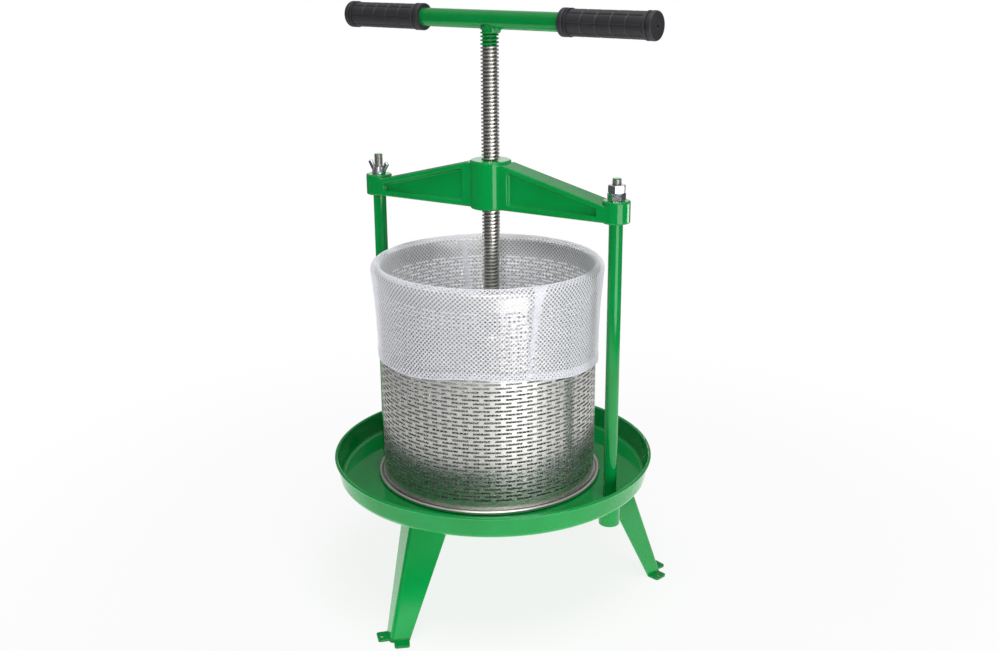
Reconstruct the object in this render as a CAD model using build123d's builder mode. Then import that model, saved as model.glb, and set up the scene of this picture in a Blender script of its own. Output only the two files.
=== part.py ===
# Fruit press: a slotted drum in a three-legged tray, pressed by a hand-turned screw in a crossbeam.
# The drum's axis is +Z, the posts and the crossbeam lie along X, and the feet stand on z = 0.

import os
from math import cos, radians, sin

from build123d import *

os.makedirs("parts", exist_ok=True)

# Tray
leg_height = 133.0  # ground to the tray's underside
tray_sheet = 2.0
tray_depth = 28.0  # underside to the top of the rim
tray_rim_radius = 188.0
tray_corner_radius = 182.0  # where floor and wall would meet without their bend
tray_bend = 7.0
rim_bead = 2.0  # radius of the rolled edge

# Spout, in the tray's wall behind the drum
spout_azimuth = 93.0  # degrees about the drum's axis, from +X
spout_width = 38.0
spout_height = 18.0
spout_reach = 46.0  # past the tray's rim
spout_sheet = 2.0
spout_bend = 8.0
spout_fall = 8.0  # degrees
spout_lip_height = 9.0
spout_window_sill = 2.0  # above the tray's floor

# Legs, at equal angles round the drum's axis
front_leg_azimuth = -92.0
leg_sheet = 2.5
leg_foot_radius = 205.0
leg_top_radius = 160.5
leg_foot_width = 21.5  # of one flange
leg_top_width = 45.5
leg_fold = 4.5  # outside radius along the ridge
leg_flange_angle = 48.0  # degrees between a flange and the leg's middle plane
foot_tab_length = 12.0
foot_tab_corner = 3.0
foot_hole_radius = 2.5
foot_hole_reach = 7.0  # from the flange's outer face

# Posts and their sockets
post_spacing = 313.0
post_radius = 7.5
post_length = 318.0  # tray floor to the beam's seat
stud_radius = 5.0
stud_length = 47.5  # above the beam's seat
root_stud_radius = 6.0
socket_radius = 12.0
socket_length = 32.0
socket_floor = 3.0  # left under the threaded end
thread_clearance = 0.05  # radial, between a stud and its nut or tapped hole
stud_hole_clearance = 0.5  # radial, in the beam and the tray
end_chamfer = 1.2

# Crossbeam
centre_boss_radius = 23.0
centre_boss_height = 54.0
end_boss_radius = 15.0
end_boss_height = 24.0
arm_thickness = 29.0
arm_root_height = 51.0  # at the centre boss
arm_tip_height = 21.0  # at the end boss
arm_lift = 1.0  # arm's underside above the bosses' undersides
arm_border = 5.5  # rim left round each panel
arm_boss_border = 6.0  # the same, beside the centre boss
arm_stud_border = 16.5  # from each panel's far end to the stud's axis
arm_boss_fillet = 5.0
panel_depth = 4.0
panel_draft = 25.0  # degrees
panel_corner = 2.5
casting_edge = 1.5

# Nuts
nut_flats = 17.0
nut_height = 8.4
wing_hub_radius = 8.0
wing_hub_height = 8.0
wing_root = 7.0  # foot of each wing, out from the stud's axis
wing_root_height = 2.5
wing_length = 14.5
wing_width = 5.0
wing_thickness = 3.6
wing_corner = 1.2
wing_lean = 36.0  # degrees
wing_azimuth = -13.0
seat_gap = 0.1  # under a nut or a shoulder that turns or lifts

# Drum
drum_x = -3.8  # the drum stands loose on the tray, a little off the screw's axis
drum_y = -2.4
drum_radius = 125.0  # outside of the sheet
drum_sheet = 1.0
drum_height = 252.0
drum_bead = 2.5  # radius of the rolled top edge
slot_length = 26.0
slot_width = 4.0
slot_rows = 12
slots_per_row = 18
slot_field_low = 24.0  # lowest row above the drum's foot
slot_field_high = 20.0  # highest row below the drum's top
base_ring_radius = 132.0
base_ring_upstand = 5.0
base_ring_bead = 2.4
base_ring_sheet = 1.2

# Filter bag
bag_cloth = 1.2
bag_gap = 0.5  # between cloth and drum
bag_hem_drop = 96.0  # from the drum's top edge to the hem
bag_floor_bend = 8.0

# Screw, plate and handle
screw_radius = 10.0
screw_clearance = 0.1  # radial, in the beam
travel_down = 136.0
plate_floor_gap = 4.0  # left under the plate at its lowest
handle_gap = 5.0  # left over the beam at the plate's lowest
plate_radius = 116.0
plate_thickness = 4.0
plate_edge = 1.0
hub_radius = 20.0
hub_height = 26.0
journal_radius = 8.0
journal_clearance = 0.05
journal_groove_radius = 5.5
journal_groove_width = 7.0
set_screw_radius = 3.0
set_screw_tip_gap = 0.3
weld_gap = 0.05
bar_radius = 10.0
bar_wall = 2.0
bar_length = 405.0
bar_azimuth = -5.5
bar_offset = 2.5  # of the tube's middle from the screw's axis, along the tube
grip_length = 111.0
grip_radius = 13.9
grip_collar_radius = 14.8
grip_collar_width = 6.0
grip_ring_width = 3.0
grip_ring_gap = 1.6
grip_end_wall = 2.5
grip_dome = 2.2
grip_clearance = 0.05
tread_columns = 5  # blocks along the grip
tread_rows = 8  # blocks round it
tread_groove_width = 1.5
tread_groove_depth = 0.9

# Levels and places that follow from the sizes above
floor_z = leg_height + tray_sheet
rim_z = leg_height + tray_depth
post_x = post_spacing / 2
seat_z = floor_z + post_length
end_boss_top_z = seat_z + end_boss_height
beam_top_z = seat_z + centre_boss_height
drum_top_z = floor_z + drum_height
plate_z = floor_z + plate_floor_gap + travel_down
plate_top_z = plate_z + plate_thickness
hub_top_z = plate_top_z + hub_height
handle_z = beam_top_z + handle_gap + travel_down + bar_radius
wall_top = (tray_rim_radius - rim_bead, rim_z - rim_bead)


def save(piece, name):
    piece.part.label = name
    export_step(piece.part, f"parts/{name}.step")


def heading(azimuth):
    return Vector(cos(radians(azimuth)), sin(radians(azimuth)), 0)


# Tray: one spun sheet, turned up at the wall and rolled at the rim
spout_out = heading(spout_azimuth)
spout_side = heading(spout_azimuth + 90)
spout_plane = Plane(origin=(0, 0, floor_z), x_dir=spout_side, z_dir=spout_out)
with BuildPart() as tray:
    with BuildSketch(Plane.XZ):
        with BuildLine():
            FilletPolyline((0, leg_height), (tray_corner_radius, leg_height), wall_top, radius=tray_bend)
            offset(amount=tray_sheet, side=Side.LEFT)
        make_face()
        with Locations(wall_top):
            Circle(rim_bead)
    revolve(axis=Axis.Z)
    with BuildSketch(Plane.XY.offset(leg_height)):
        with Locations((-post_x, 0), (post_x, 0)):
            Circle(root_stud_radius + stud_hole_clearance)
    extrude(amount=tray_sheet, mode=Mode.SUBTRACT)
    with BuildSketch(spout_plane):
        with Locations((0, spout_window_sill + spout_height / 2)):
            RectangleRounded(spout_width - 2 * spout_sheet, spout_height - 2 * spout_sheet, spout_sheet)
    extrude(amount=tray_rim_radius, mode=Mode.SUBTRACT)
save(tray, "tray")

# Pour spout: an open trough that falls away from the tray, coped against the outside of its wall
trough_root = tray_corner_radius - tray_bend
trough_out = spout_out * cos(radians(spout_fall)) - Vector(0, 0, sin(radians(spout_fall)))
trough_start = spout_out * trough_root + Vector(0, 0, floor_z)
trough_plane = Plane(origin=trough_start, x_dir=spout_side, z_dir=trough_out)
trough_length = tray_rim_radius + spout_reach - trough_root
trough_brim = spout_height - spout_sheet
with BuildPart() as pour_spout:
    with BuildSketch(trough_plane):
        with BuildLine():
            FilletPolyline(
                (-spout_width / 2, trough_brim),
                (-spout_width / 2, -spout_sheet),
                (spout_width / 2, -spout_sheet),
                (spout_width / 2, trough_brim),
                radius=spout_bend,
            )
            offset(amount=spout_sheet, side=Side.LEFT)
        make_face()
    extrude(amount=trough_length)
    with BuildSketch(Plane(origin=trough_start, x_dir=trough_out, z_dir=spout_side)):
        with BuildLine():
            Polyline(
                (tray_rim_radius - trough_root, trough_brim),
                (trough_length, spout_lip_height),
                (trough_length, trough_brim),
                close=True,
            )
        make_face()
    extrude(amount=spout_width, both=True, mode=Mode.SUBTRACT)
    with BuildSketch(Plane.XZ):
        with BuildLine():
            outside = FilletPolyline(
                (0, leg_height - weld_gap),
                (tray_corner_radius + weld_gap, leg_height - weld_gap),
                (wall_top[0] + weld_gap, wall_top[1]),
                radius=tray_bend,
            )
            Polyline(outside @ 1, (wall_top[0] + weld_gap, beam_top_z), (0, beam_top_z), outside @ 0)
        make_face()
    revolve(axis=Axis.Z, mode=Mode.SUBTRACT)
save(pour_spout, "pour_spout")

# Legs: sheet folded to a tapered angle with its ridge outward, and a foot tab turned out of each flange
flange_turn = 180 - leg_flange_angle
tab_width = leg_foot_width - leg_fold
for name, azimuth in (
    ("front_leg", front_leg_azimuth),
    ("rear_right_leg", front_leg_azimuth + 120),
    ("rear_left_leg", front_leg_azimuth + 240),
):
    out = heading(azimuth)
    foot = out * leg_foot_radius
    top = out * leg_top_radius + Vector(0, 0, leg_height)
    with BuildPart() as leg:
        for ridge, width in ((foot, leg_foot_width), (top, leg_top_width)):
            with BuildSketch(Plane(origin=ridge, x_dir=out)):
                with BuildLine():
                    tip_x = -width * cos(radians(leg_flange_angle))
                    tip_y = width * sin(radians(leg_flange_angle))
                    FilletPolyline((tip_x, -tip_y), (0, 0), (tip_x, tip_y), radius=leg_fold)
                    offset(amount=leg_sheet, side=Side.LEFT)
                make_face()
        loft(ruled=True)
        for side in (-1, 1):
            flange_out = heading(azimuth + side * flange_turn)
            with BuildSketch(Plane(origin=foot, x_dir=flange_out, z_dir=(0, 0, side))):
                with Locations((leg_fold, leg_sheet)):
                    tab = Rectangle(tab_width, leg_sheet + foot_tab_length, align=(Align.MIN, Align.MAX))
                fillet(tab.vertices().group_by(Axis.Y)[0], foot_tab_corner)
            extrude(amount=side * leg_sheet)
        with BuildSketch(Plane(origin=foot, x_dir=heading(azimuth - flange_turn), z_dir=(0, 0, -1))):
            with Locations((leg_fold + tab_width / 2, -foot_hole_reach)):
                Circle(foot_hole_radius)
        extrude(amount=-leg_sheet, mode=Mode.SUBTRACT)
    save(leg, name)

# Posts and sockets: each post stands on the tray's floor and its threaded root runs down into a welded socket
root_length = tray_sheet + socket_length - socket_floor
for side, x in (("left", -post_x), ("right", post_x)):
    with BuildPart() as socket:
        with BuildSketch(Plane.XY.offset(leg_height - socket_length)):
            with Locations((x, 0)):
                Circle(socket_radius)
        extrude(amount=socket_length)
        fillet(socket.faces().sort_by(Axis.Z)[0].edges(), end_chamfer)
        with BuildSketch(Plane.XY.offset(leg_height)):
            with Locations((x, 0)):
                Circle(root_stud_radius + thread_clearance)
        extrude(amount=socket_floor - socket_length, mode=Mode.SUBTRACT)
    save(socket, f"{side}_post_socket")
    with BuildPart() as post:
        for level, radius, length in (
            (floor_z - root_length, root_stud_radius, root_length),
            (floor_z, post_radius, post_length),
            (seat_z, stud_radius, stud_length),
        ):
            with BuildSketch(Plane.XY.offset(level)):
                with Locations((x, 0)):
                    Circle(radius)
            extrude(amount=length)
        chamfer(post.faces().sort_by(Axis.Z)[-1].edges(), end_chamfer)
        chamfer(post.faces().sort_by(Axis.Z)[0].edges(), end_chamfer)
    save(post, f"{side}_post")

# Crossbeam: its plan and side view crossed, panels sunk in the arms, then the three bosses and their bores
arm_z = seat_z + arm_lift
arm_slope = (arm_tip_height - arm_root_height) / (post_x - end_boss_radius - centre_boss_radius)
panel_near = centre_boss_radius + arm_boss_border
panel_far = post_x - arm_stud_border


def arm_top(x):
    return seat_z + arm_root_height + arm_slope * (x - centre_boss_radius)


with BuildPart() as crossbeam:
    with BuildSketch(Plane.XY.offset(arm_z)) as plan:
        Rectangle(post_spacing, arm_thickness)
        Circle(centre_boss_radius)
        fillet(plan.vertices().filter_by(lambda corner: abs(corner.X) < centre_boss_radius), arm_boss_fillet)
    extrude(amount=centre_boss_height)
    with BuildSketch(Plane.XZ):
        with BuildLine():
            Polyline(
                (0, arm_z),
                (post_x, arm_z),
                (post_x, arm_top(post_x)),
                (centre_boss_radius, arm_top(centre_boss_radius)),
                (0, arm_top(centre_boss_radius)),
                close=True,
            )
        make_face()
        mirror(about=Plane.YZ)
    extrude(amount=centre_boss_radius, both=True, mode=Mode.INTERSECT)
    cross_edges = crossbeam.edges().filter_by(Axis.Y) + crossbeam.edges().filter_by(Axis.Z)
    fillet(crossbeam.edges() - cross_edges, casting_edge)
    with BuildSketch(Plane.XZ.offset(arm_thickness / 2)) as panel:
        with BuildLine():
            Polyline(
                (panel_near, arm_z + arm_border),
                (panel_far, arm_z + arm_border),
                (panel_far, arm_top(panel_far) - arm_border),
                (panel_near, arm_top(panel_near) - arm_border),
                close=True,
            )
        make_face()
        fillet(panel.vertices(), panel_corner)
        mirror(about=Plane.YZ)
    recesses = extrude(amount=-panel_depth, taper=panel_draft, mode=Mode.SUBTRACT)
    mirror(recesses, about=Plane.XZ, mode=Mode.SUBTRACT)
    for x, radius, height in (
        (0, centre_boss_radius, centre_boss_height),
        (-post_x, end_boss_radius, end_boss_height),
        (post_x, end_boss_radius, end_boss_height),
    ):
        with BuildSketch(Plane.XY.offset(seat_z)):
            with Locations((x, 0)):
                Circle(radius)
        extrude(amount=height)
        rounds = crossbeam.edges().filter_by(GeomType.CIRCLE).filter_by(lambda edge: edge.radius == radius)
        fillet(rounds.group_by(Axis.Z)[0] + rounds.group_by(Axis.Z)[-1], casting_edge)
    with BuildSketch(Plane.XY.offset(seat_z)):
        Circle(screw_radius + screw_clearance)
        with Locations((-post_x, 0), (post_x, 0)):
            Circle(stud_radius + stud_hole_clearance)
    extrude(amount=centre_boss_height, mode=Mode.SUBTRACT)
save(crossbeam, "crossbeam")

# Hex nuts on the right stud, the upper one locked against the lower
for name, level in (("beam_clamp_nut", end_boss_top_z), ("beam_lock_nut", end_boss_top_z + nut_height)):
    with BuildPart() as nut:
        with BuildSketch(Plane.XY.offset(level)):
            with Locations((post_x, 0)):
                RegularPolygon(nut_flats / 2, 6, major_radius=False)
                Circle(stud_radius + thread_clearance, mode=Mode.SUBTRACT)
        extrude(amount=nut_height)
    save(nut, name)

# Wing nut on the left stud
wing_z = end_boss_top_z + seat_gap
wing_out = heading(wing_azimuth)
wing_plane = Plane(origin=(-post_x, 0, wing_z), x_dir=wing_out, z_dir=wing_out.cross(Vector(0, 0, 1)))
with BuildPart() as wing_nut:
    with BuildSketch(Plane.XY.offset(wing_z)):
        with Locations((-post_x, 0)):
            Circle(wing_hub_radius)
    extrude(amount=wing_hub_height)
    with BuildSketch(wing_plane) as wings:
        for side in (-1, 1):
            with Locations(Location((side * wing_root, wing_root_height), -side * wing_lean)):
                Rectangle(wing_width, wing_length, align=(Align.CENTER, Align.MIN))
        fillet(wings.vertices(), wing_corner)
    extrude(amount=wing_thickness / 2, both=True)
    with BuildSketch(Plane.XY.offset(wing_z)):
        with Locations((-post_x, 0)):
            Circle(stud_radius + thread_clearance)
    extrude(amount=stud_length, mode=Mode.SUBTRACT)
save(wing_nut, "wing_nut")

# Drum: a rolled sheet with its top edge curled outward, cut by rows of slots that alternate like bricks
drum_axis = Axis((drum_x, drum_y, 0), (0, 0, 1))
drum_section = Plane(origin=(drum_x, drum_y, 0), x_dir=(1, 0, 0), z_dir=(0, -1, 0))
slot_step = (drum_height - slot_field_low - slot_field_high) / (slot_rows - 1)
slot_pitch = 360 / slots_per_row
with BuildPart() as slotted_drum:
    with BuildSketch(drum_section):
        with Locations((drum_radius - drum_sheet / 2, floor_z + (drum_height - drum_bead) / 2)):
            Rectangle(drum_sheet, drum_height - drum_bead)
        with Locations((drum_radius - drum_sheet + drum_bead, drum_top_z - drum_bead)):
            Circle(drum_bead)
    revolve(axis=drum_axis)
    for row in range(slot_rows):
        stagger = slot_pitch / 2 * (row % 2)
        with Locations((drum_x, drum_y, floor_z + slot_field_low + slot_step * row)):
            with PolarLocations(drum_radius, slots_per_row, start_angle=stagger):
                Box(4 * drum_sheet, slot_length, slot_width, mode=Mode.SUBTRACT)
save(slotted_drum, "slotted_drum")

# Base ring: a pressed foot round the drum, with an upstand on the sheet and a rolled outer edge
ring_bore = drum_radius + weld_gap
with BuildPart() as drum_base_ring:
    with BuildSketch(drum_section):
        with Locations((ring_bore, floor_z)):
            Rectangle(base_ring_sheet, base_ring_upstand, align=Align.MIN)
            Rectangle(base_ring_radius - base_ring_bead - ring_bore, base_ring_sheet, align=Align.MIN)
        with Locations((base_ring_radius - base_ring_bead, floor_z + base_ring_bead)):
            Circle(base_ring_bead)
    revolve(axis=drum_axis)
save(drum_base_ring, "drum_base_ring")

# Filter bag: closed at the tray's floor, up the inside of the drum, over its rolled edge and down to the hem
bag_z = floor_z + bag_gap
bag_side = drum_radius - drum_sheet - bag_gap
bead_x = drum_radius - drum_sheet + drum_bead
bead_z = drum_top_z - drum_bead
fold_radius = drum_bead + bag_gap
hem_z = drum_top_z - bag_hem_drop
with BuildPart() as filter_bag:
    with BuildSketch(drum_section):
        with BuildLine():
            FilletPolyline((0, bag_z), (bag_side, bag_z), (bag_side, bead_z), radius=bag_floor_bend)
            CenterArc((bead_x, bead_z), fold_radius, 180, -180)
            offset(amount=bag_cloth, side=Side.LEFT)
        make_face()
        with BuildLine():
            Polyline(
                (bead_x + fold_radius, bead_z),
                (bead_x + fold_radius + bag_cloth, bead_z),
                (drum_radius + bag_gap + bag_cloth, hem_z),
                (drum_radius + bag_gap, hem_z),
                close=True,
            )
        make_face()
    revolve(axis=drum_axis)
save(filter_bag, "filter_bag")

# Press plate, its hub, and the two screws that hold the hub on the press screw's journal
groove_z = plate_top_z + hub_height / 2
with BuildPart() as press_plate:
    with BuildSketch(Plane.XY.offset(plate_z)):
        Circle(plate_radius)
    extrude(amount=plate_thickness)
    chamfer(press_plate.edges(), plate_edge)
save(press_plate, "press_plate")

with BuildPart() as plate_hub:
    with BuildSketch(Plane.XY.offset(plate_top_z)):
        Circle(hub_radius)
        Circle(journal_radius + journal_clearance, mode=Mode.SUBTRACT)
    extrude(amount=hub_height)
    chamfer(plate_hub.faces().sort_by(Axis.Z)[-1].outer_wire().edges(), end_chamfer)
    with BuildSketch(Plane.YZ.offset(-hub_radius)):
        with Locations((0, groove_z)):
            Circle(set_screw_radius + thread_clearance)
    extrude(amount=2 * hub_radius, mode=Mode.SUBTRACT)
save(plate_hub, "plate_hub")

with BuildPart() as hub_set_screws:
    with BuildSketch(Plane.YZ.offset(journal_groove_radius + set_screw_tip_gap)):
        with Locations((0, groove_z)):
            Circle(set_screw_radius)
    extrude(amount=hub_radius - end_chamfer - journal_groove_radius - set_screw_tip_gap)
    mirror(about=Plane.YZ)
save(hub_set_screws, "hub_set_screws")

# Press screw: thread from the hub to the handle, with a grooved journal that turns in the hub
bar_out = heading(bar_azimuth)
bar_middle = bar_out * bar_offset + Vector(0, 0, handle_z)
bar_plane = Plane(origin=bar_middle, x_dir=(0, 0, 1), z_dir=bar_out)
with BuildPart() as press_screw:
    for level, radius, top in (
        (plate_top_z + seat_gap, journal_radius, hub_top_z + seat_gap),
        (hub_top_z + seat_gap, screw_radius, handle_z - bar_radius / 2),
    ):
        with BuildSketch(Plane.XY.offset(level)):
            Circle(radius)
        extrude(amount=top - level)
    with BuildSketch(Plane.XY.offset(groove_z - journal_groove_width / 2)):
        Circle(journal_radius)
        Circle(journal_groove_radius, mode=Mode.SUBTRACT)
    extrude(amount=journal_groove_width, mode=Mode.SUBTRACT)
    with BuildSketch(bar_plane):
        Circle(bar_radius + weld_gap)
    extrude(amount=bar_length / 2, both=True, mode=Mode.SUBTRACT)
save(press_screw, "press_screw")

# Handle: a tube across the screw's top with a rubber grip over each end
with BuildPart() as handle_bar:
    with BuildSketch(bar_plane):
        Circle(bar_radius)
        Circle(bar_radius - bar_wall, mode=Mode.SUBTRACT)
    extrude(amount=bar_length / 2, both=True)
save(handle_bar, "handle_bar")

# Grips: a collar and a ring at each end, and between them blocks of tread cut by grooves both ways
grip_end = bar_length / 2 + grip_end_wall
grip_start = grip_end - grip_length
grip_root = grip_radius - tread_groove_depth
tread_start = grip_start + grip_collar_width + grip_ring_gap + grip_ring_width
tread_length = grip_end + grip_start - 2 * tread_start
tread_pitch = tread_length / tread_columns
for name, turn in (("left_grip", 180), ("right_grip", 0)):
    along = heading(bar_azimuth + turn)
    grip_axis = Axis(bar_middle, along)
    grip_section = Plane(origin=bar_middle, x_dir=along, z_dir=along.cross(Vector(0, 0, 1)))
    with BuildPart() as grip:
        with BuildSketch(grip_section):
            for start, length, radius in (
                (grip_start, grip_length, grip_root),
                (grip_start, grip_collar_width, grip_collar_radius),
                (tread_start - grip_ring_width, grip_ring_width, grip_collar_radius),
                (tread_start, tread_length, grip_radius),
                (tread_start + tread_length, grip_ring_width, grip_collar_radius),
                (grip_end - grip_collar_width, grip_collar_width, grip_collar_radius),
            ):
                with Locations((start, 0)):
                    Rectangle(length, radius, align=Align.MIN)
            for column in range(tread_columns + 1):
                with Locations((tread_start + column * tread_pitch, grip_root)):
                    Rectangle(
                        tread_groove_width, grip_radius, align=(Align.CENTER, Align.MIN), mode=Mode.SUBTRACT
                    )
        revolve(axis=grip_axis)
        fillet(grip.faces().sort_by(grip_axis)[-1].edges(), grip_dome)
        with BuildSketch(Plane(origin=bar_middle + along * tread_start, z_dir=along)):
            with PolarLocations(grip_radius, tread_rows):
                Rectangle(2 * tread_groove_depth, tread_groove_width)
        extrude(amount=tread_length, mode=Mode.SUBTRACT)
        with BuildSketch(Plane(origin=bar_middle + along * grip_start, z_dir=along)):
            Circle(bar_radius + grip_clearance)
        extrude(amount=grip_length - grip_end_wall, mode=Mode.SUBTRACT)
    save(grip, name)
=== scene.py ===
# Fruit press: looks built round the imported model, in metres, in the model's own frame.
import math

import bmesh
import bpy
from mathutils import Matrix, Vector, noise


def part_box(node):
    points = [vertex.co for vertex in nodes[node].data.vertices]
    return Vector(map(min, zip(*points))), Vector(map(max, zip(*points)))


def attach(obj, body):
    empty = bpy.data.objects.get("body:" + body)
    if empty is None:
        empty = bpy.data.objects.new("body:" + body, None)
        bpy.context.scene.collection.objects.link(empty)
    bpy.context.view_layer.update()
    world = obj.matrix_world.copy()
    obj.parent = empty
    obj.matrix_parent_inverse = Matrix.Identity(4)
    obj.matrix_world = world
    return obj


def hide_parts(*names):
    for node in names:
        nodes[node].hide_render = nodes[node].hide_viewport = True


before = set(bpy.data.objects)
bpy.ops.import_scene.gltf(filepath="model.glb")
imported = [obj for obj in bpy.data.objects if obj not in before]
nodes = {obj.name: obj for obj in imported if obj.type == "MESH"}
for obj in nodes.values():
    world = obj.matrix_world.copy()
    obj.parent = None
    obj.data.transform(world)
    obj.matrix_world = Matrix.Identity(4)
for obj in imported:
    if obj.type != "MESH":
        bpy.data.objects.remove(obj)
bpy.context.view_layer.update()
mm = 0.001
fullTurn = 2 * math.pi
print("frame loaded:", len(nodes), "nodes")


# Small tools

def linear(hexColour):
    def channel(pair):
        value = int(pair, 16) / 255
        return value / 12.92 if value <= 0.04045 else ((value + 0.055) / 1.055) ** 2.4

    return tuple(channel(hexColour[i:i + 2]) for i in (1, 3, 5)) + (1.0,)


# inputs are values or sockets to link, stops are a colour ramp's places and colours
def addNode(tree, kind, inputs=None, stops=(), **settings):
    node = tree.nodes.new("ShaderNode" + kind)
    for name, value in settings.items():
        setattr(node, name, value)
    for k, (position, colour) in enumerate(stops):
        node.color_ramp.elements[k].position = position
        node.color_ramp.elements[k].color = linear(colour)
    for name, value in (inputs or {}).items():
        if isinstance(value, bpy.types.NodeSocket):
            tree.links.new(value, node.inputs[name])
        else:
            node.inputs[name].default_value = value
    return node


def newMaterial(name):
    material = bpy.data.materials.new(name)
    material.use_nodes = True
    tree = material.node_tree
    tree.nodes.clear()
    place = addNode(tree, "TexCoord").outputs["Object"]
    return material, tree, place


def closeMaterial(tree, inputs):
    shader = addNode(tree, "BsdfPrincipled", inputs)
    addNode(tree, "OutputMaterial", {"Surface": shader.outputs[0]})


def perMetre(sizeMm):
    return 1000 / sizeMm  # a texture's scale for features of this size


def smoothStep(low, high, value):
    t = min(max((value - low) / (high - low), 0), 1)
    return t * t * (3 - 2 * t)


def toObject(name, bm, materials):
    bmesh.ops.recalc_face_normals(bm, faces=bm.faces)
    mesh = bpy.data.meshes.new(name)
    bm.to_mesh(mesh)
    bm.free()
    mesh.shade_smooth()
    piece = bpy.data.objects.new(name, mesh)
    bpy.context.scene.collection.objects.link(piece)
    for material in materials:
        mesh.materials.append(material)
    return piece


# Edges that turn by more than this stay crisp
def sharpen(piece, degrees):
    mesh = piece.data
    bm = bmesh.new()
    bm.from_mesh(mesh)
    for edge in bm.edges:
        if len(edge.link_faces) == 2 and edge.calc_face_angle() > math.radians(degrees):
            edge.smooth = False
    bm.to_mesh(mesh)
    bm.free()


def settle(piece, body, slotName, *stoodFor):
    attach(piece, body)
    if stoodFor:
        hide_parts(*stoodFor)


def ringAt(bm, radius, z, angles, centre=(0, 0)):
    x, y = centre
    return [bm.verts.new((x + radius * math.cos(a), y + radius * math.sin(a), z)) for a in angles]


# A ring of one point closes to a fan
def joinRings(bm, low, high):
    for k in range(max(len(low), len(high))):
        ahead = k + 1
        corners = [low[k % len(low)], low[ahead % len(low)], high[ahead % len(high)], high[k % len(high)]]
        bm.faces.new(list(dict.fromkeys(corners)))


def lathe(bm, profile, steps, centre=(0, 0), closed=False):
    angles = [fullTurn * k / steps for k in range(steps)]
    rings = [ringAt(bm, radius, z, angles if radius > 0 else angles[:1], centre) for radius, z in profile]
    for low, high in zip(rings, rings[1:]):
        joinRings(bm, low, high)
    if closed:
        joinRings(bm, rings[-1], rings[0])


# One helical sheet with a flat root, a flank, a flat crest and a flank to each pitch, cut level at both ends
def threadRod(size, bottom, top, centre=(0, 0)):
    bm = bmesh.new()
    pitch, steps = size["pitch"] * mm, size["steps"]
    section = [
        (0, size["minor"] * mm),
        (size["root"] * pitch, size["minor"] * mm),
        ((0.5 - size["crest"] / 2 + size["root"] / 2) * pitch, size["major"] * mm),
        ((0.5 + size["crest"] / 2 + size["root"] / 2) * pitch, size["major"] * mm),
    ]
    spareTurns = 3  # half of them past each end, for the cuts
    turns = math.ceil((top - bottom) / pitch) + spareTurns
    start = bottom - spareTurns / 2 * pitch
    rows = []
    for i in range(turns * steps):
        angle = fullTurn * i / steps
        lift = start + pitch * i / steps
        rows.append([
            bm.verts.new((centre[0] + r * math.cos(angle), centre[1] + r * math.sin(angle), lift + z))
            for z, r in section
        ])
    for i in range((turns - 1) * steps - 1):
        for j in range(len(section)):
            row, column = (i, j + 1) if j + 1 < len(section) else (i + steps, 0)
            bm.faces.new([rows[i][j], rows[i + 1][j], rows[row + 1][column], rows[row][column]])
    for level, up in ((bottom, -1), (top, 1)):
        everything = bm.verts[:] + bm.edges[:] + bm.faces[:]
        cut = bmesh.ops.bisect_plane(
            bm, geom=everything, plane_co=(0, 0, level), plane_no=(0, 0, up), clear_outer=True
        )
        rim = [item for item in cut["geom_cut"] if isinstance(item, bmesh.types.BMEdge)]
        bmesh.ops.edgeloop_fill(bm, edges=rim)
    return bm


# Materials: what their patterns measure on the real thing, in mm

patternMm = {
    "paintCloud": 60, "sheetCloud": 45, "oilSmear": 9, "scratch": 0.8, "zincBath": 5, "bloom": 14,
    "mouldGrain": 0.9, "unevenThread": 18, "strand": 0.7,
}
streakStretch = (0.03, 0.03, 1.0)  # brush marks run long round the drum and stay short up it


# Gloss enamel sprayed on steel sheet: deep even green, a wet shine, and a faint ripple left by the spray
def makeEnamel(name, rippleMm, rippleHeight, roughness, edgeMm):
    material, tree, place = newMaterial(name)
    cloud = addNode(tree, "TexNoise", {
        "Vector": place, "Scale": perMetre(patternMm["paintCloud"]), "Detail": 3.0,
    })
    tone = addNode(tree, "ValToRGB", {"Fac": cloud.outputs[0]}, stops=((0.3, "#008537"), (0.7, "#019143")))
    ripple = addNode(tree, "TexNoise", {"Vector": place, "Scale": perMetre(rippleMm), "Detail": 2.0})
    softEdge = addNode(tree, "Bevel", {"Radius": edgeMm * mm}, samples=8)  # paint runs thick over an edge
    skin = addNode(tree, "Bump", {
        "Height": ripple.outputs[0], "Strength": 0.6, "Distance": rippleHeight * mm,
        "Normal": softEdge.outputs[0],
    })
    haze = addNode(tree, "MapRange", {
        "Value": cloud.outputs[0], "From Min": 0.3, "From Max": 0.7, "To Min": roughness * 0.8,
        "To Max": roughness * 1.2,
    })
    closeMaterial(tree, {
        "Base Color": tone.outputs[0], "Roughness": haze.outputs[0], "Normal": skin.outputs[0], "IOR": 1.52,
        "Specular IOR Level": 0.32,
    })
    return material


sprayedEnamel = makeEnamel("green_enamel_sprayed", rippleMm=7, rippleHeight=0.03, roughness=0.07, edgeMm=0.8)
# the sand-cast skin shows through as peel
castEnamel = makeEnamel(
    "green_enamel_on_iron_casting", rippleMm=3.6, rippleHeight=0.1, roughness=0.07, edgeMm=2.4
)


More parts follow.
